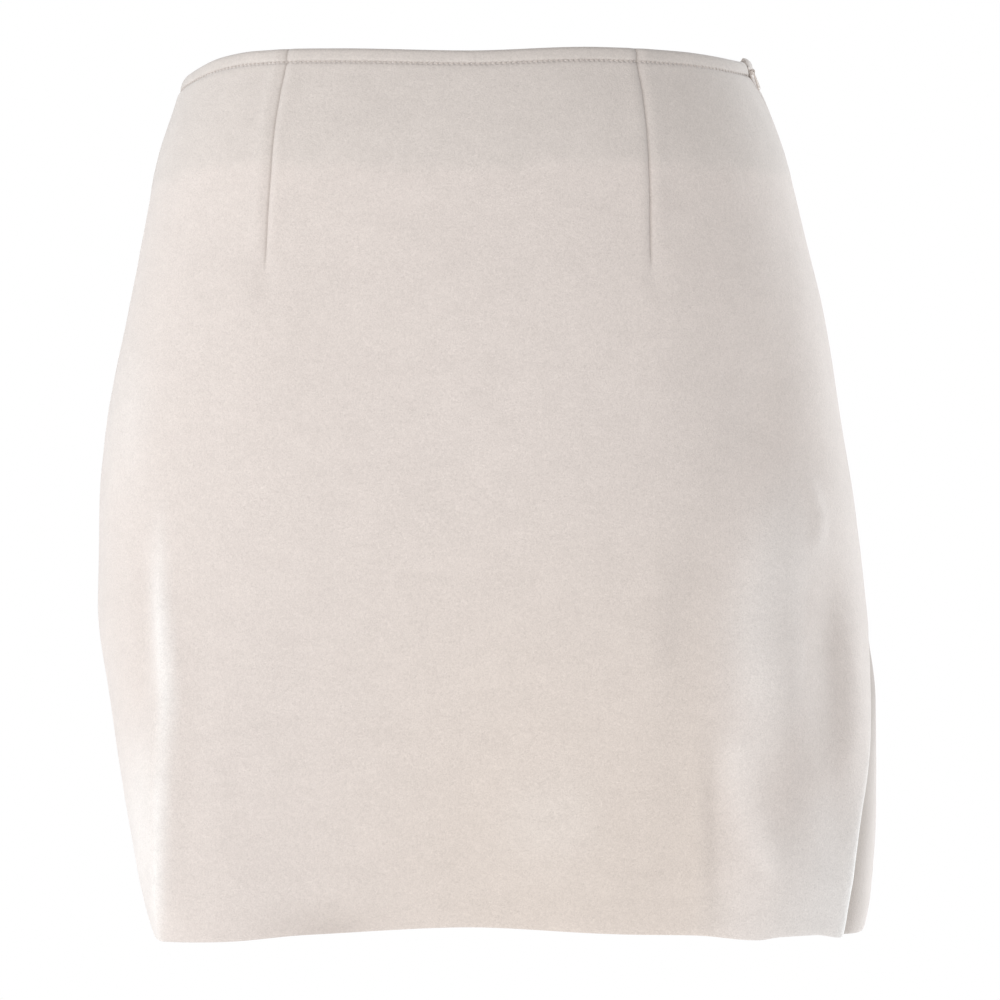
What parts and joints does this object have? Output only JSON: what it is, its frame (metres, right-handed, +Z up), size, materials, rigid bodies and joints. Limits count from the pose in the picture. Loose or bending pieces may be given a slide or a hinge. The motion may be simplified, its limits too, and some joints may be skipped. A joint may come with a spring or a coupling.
{
  "type": "suede mini skirt",
  "caption": "Fitted mini skirt of thick suede cloth: darted front and back, a topstitched turned waist edge, a concealed side zip and a slit below it.",
  "frame": {"origin": "centre of the waist opening, level with its top edge, where the wearer's waist holds the skirt", "axes": "+Z up out of the waist opening, +X to the wearer's left, where the zip and the slit are, and -Y to the front"},
  "size_m": [0.355, 0.2415, 0.3984],
  "materials": {
    "suede": "soft brushed nap, matt, pale stone",
    "tape": "fine woven tape, matt",
    "enamel": "smooth satin enamel in the cloth's colour"
  },
  "bodies": {
    "skirt": {"front_panel": "suede", "back_panel": "suede", "zip_tape": "tape", "zip_slider": "enamel"},
    "pull_tab": {"zip_pull": "enamel"}
  },
  "joints": [
    {"name": "pull_hinge", "type": "hinge", "parent": "skirt", "child": "pull_tab", "pos_m": [0.12799, -0.0253, -0.00379], "axis": [-0.1771, -0.9268, -0.3312], "range_deg": [0, 165]}
  ]
}
